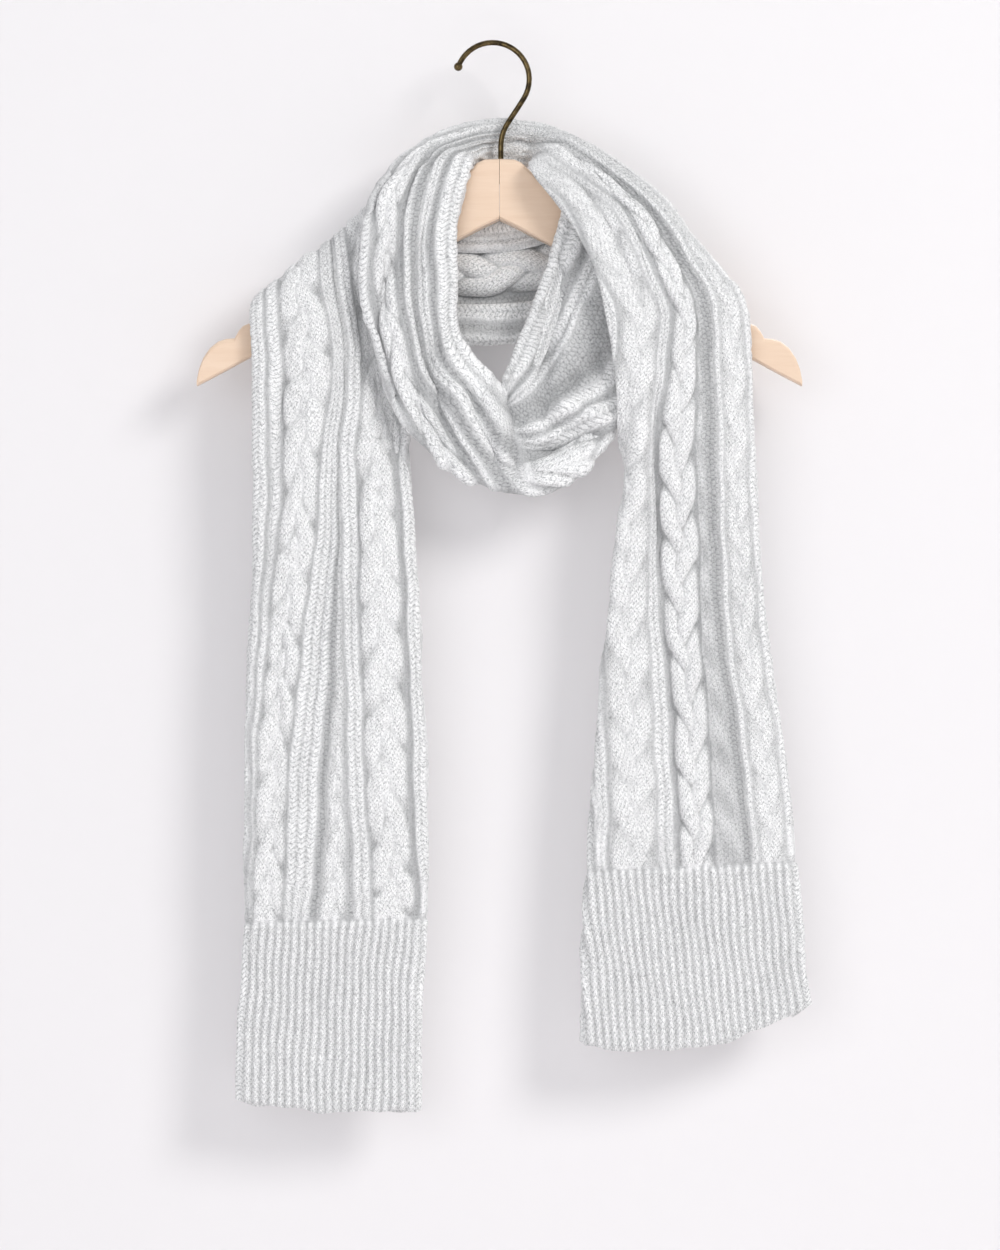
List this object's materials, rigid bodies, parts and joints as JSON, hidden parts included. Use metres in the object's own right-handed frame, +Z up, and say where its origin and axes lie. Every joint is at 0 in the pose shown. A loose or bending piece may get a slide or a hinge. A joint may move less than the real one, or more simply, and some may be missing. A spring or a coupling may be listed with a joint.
{
  "type": "knit scarf on a wooden coat hanger",
  "caption": "Long pale grey cable-knit scarf with ribbed ends, wound once round the neck of a plain wooden coat hanger with a wire hook.",
  "frame": {"origin": "inside top of the hanger's hook, where a rail or peg carries it", "axes": "+Z up, -Y towards the front where both tails hang, +X to the viewer's right"},
  "size_m": [0.4481, 0.0725, 0.7855],
  "materials": {
    "knit": "brushed heathered wool-blend knit, pale cool grey, soft halo",
    "wood": "pale beech, satin clear lacquer",
    "brass": "dark antique brass wire with worn highlights"
  },
  "bodies": {
    "root": {"left_hem": "knit", "left_tail": "knit", "left_shoulder": "knit", "back_pass": "knit", "inner_right": "knit", "left_loop": "knit", "top_pass": "knit", "right_shoulder": "knit", "right_tail": "knit", "right_hem": "knit", "arm_left": "wood", "arm_right": "wood", "hook": "brass"}
  },
  "joints": []
}
